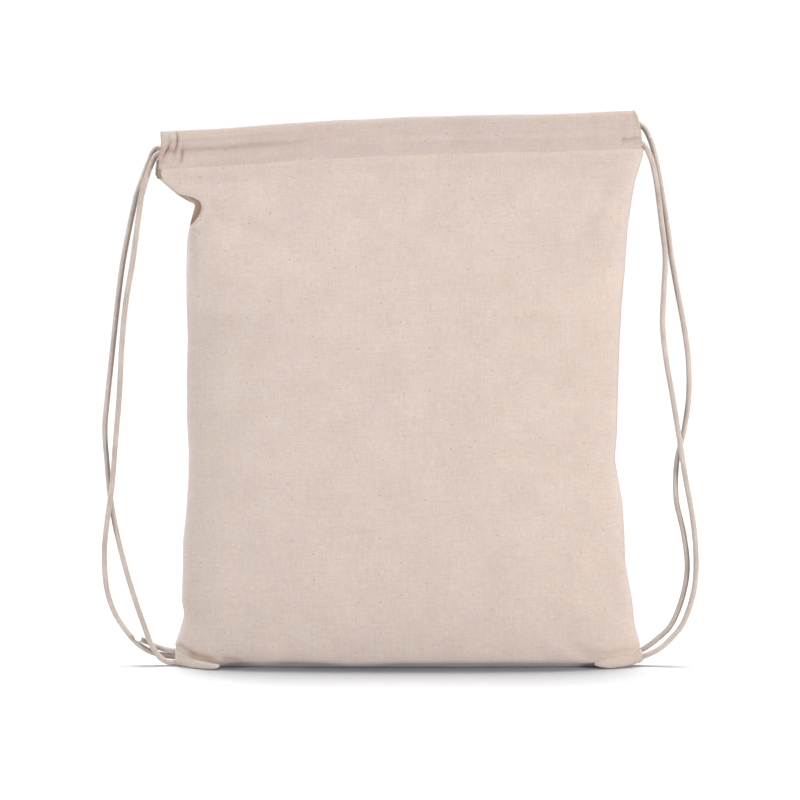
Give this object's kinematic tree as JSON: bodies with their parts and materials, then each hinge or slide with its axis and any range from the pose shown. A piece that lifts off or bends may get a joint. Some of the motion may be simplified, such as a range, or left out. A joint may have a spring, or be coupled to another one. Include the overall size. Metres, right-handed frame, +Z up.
{
  "type": "drawstring backpack",
  "caption": "Unbleached cotton drawstring backpack, filled and standing, with a cased mouth and braided cords from the mouth to the bottom corners as shoulder straps.",
  "frame": {"origin": "on the ground under the middle of the bag, measured without the cords", "axes": "+X to the wearer's right seen from the front, +Y from the front face to the back face, +Z up to the mouth"},
  "size_m": [0.446, 0.076, 0.415],
  "materials": {
    "cotton_cloth": "matt plain-weave unbleached cotton with sparse seed flecks",
    "seam_cloth": "matt cut edges bound with overlock thread",
    "sewing_thread": "matt cotton sewing thread",
    "seam_thread": "matt dense bartack thread",
    "braided_cord": "matt braided cotton cord",
    "sealed_tip": "glazed sealed cord end"
  },
  "bodies": {
    "bag": {"front_panel": "cotton_cloth", "back_panel": "cotton_cloth", "left_side_seam": "seam_cloth", "right_side_seam": "seam_cloth", "front_casing": "cotton_cloth", "back_casing": "cotton_cloth", "front_hem_stitch": "sewing_thread", "back_hem_stitch": "sewing_thread", "left_corner_tab": "cotton_cloth", "right_corner_tab": "cotton_cloth", "left_tab_bartack": "sewing_thread", "right_tab_bartack": "sewing_thread", "left_cord_front_lead": "braided_cord", "left_cord_back_lead": "braided_cord", "right_cord_front_lead": "braided_cord", "right_cord_back_lead": "braided_cord"},
    "left_mouth_end": {"front_left_cuff": "cotton_cloth", "back_left_cuff": "cotton_cloth", "left_mouth_bartack": "seam_thread", "right_cord_turn": "braided_cord"},
    "right_mouth_end": {"front_right_cuff": "cotton_cloth", "back_right_cuff": "cotton_cloth", "right_mouth_bartack": "seam_thread", "left_cord_turn": "braided_cord"},
    "left_strap": {"left_strap_front_run": "braided_cord", "left_strap_back_run": "braided_cord", "left_cord_tail": "braided_cord", "left_cord_tip": "sealed_tip"},
    "right_strap": {"right_strap_front_run": "braided_cord", "right_strap_back_run": "braided_cord"}
  },
  "joints": [
    {"name": "left_mouth_draw", "type": "slide", "parent": "bag", "child": "left_mouth_end", "axis": [0.999, 0, 0.0454], "range_m": [0, 0.06], "deforming": ["front_casing", "back_casing"]},
    {"name": "right_mouth_draw", "type": "slide", "parent": "bag", "child": "right_mouth_end", "axis": [-0.999, 0, -0.0454], "range_m": [0, 0.06]},
    {"name": "left_strap_swing", "type": "hinge", "parent": "bag", "child": "left_strap", "pos_m": [-0.1955, 0, 0.35], "axis": [-0.0645, 0, 0.9979], "range_deg": [-75, 75]},
    {"name": "right_strap_swing", "type": "hinge", "parent": "bag", "child": "right_strap", "pos_m": [0.194, 0, 0.351], "axis": [0.0294, 0, 0.9996], "range_deg": [-75, 75]}
  ]
}
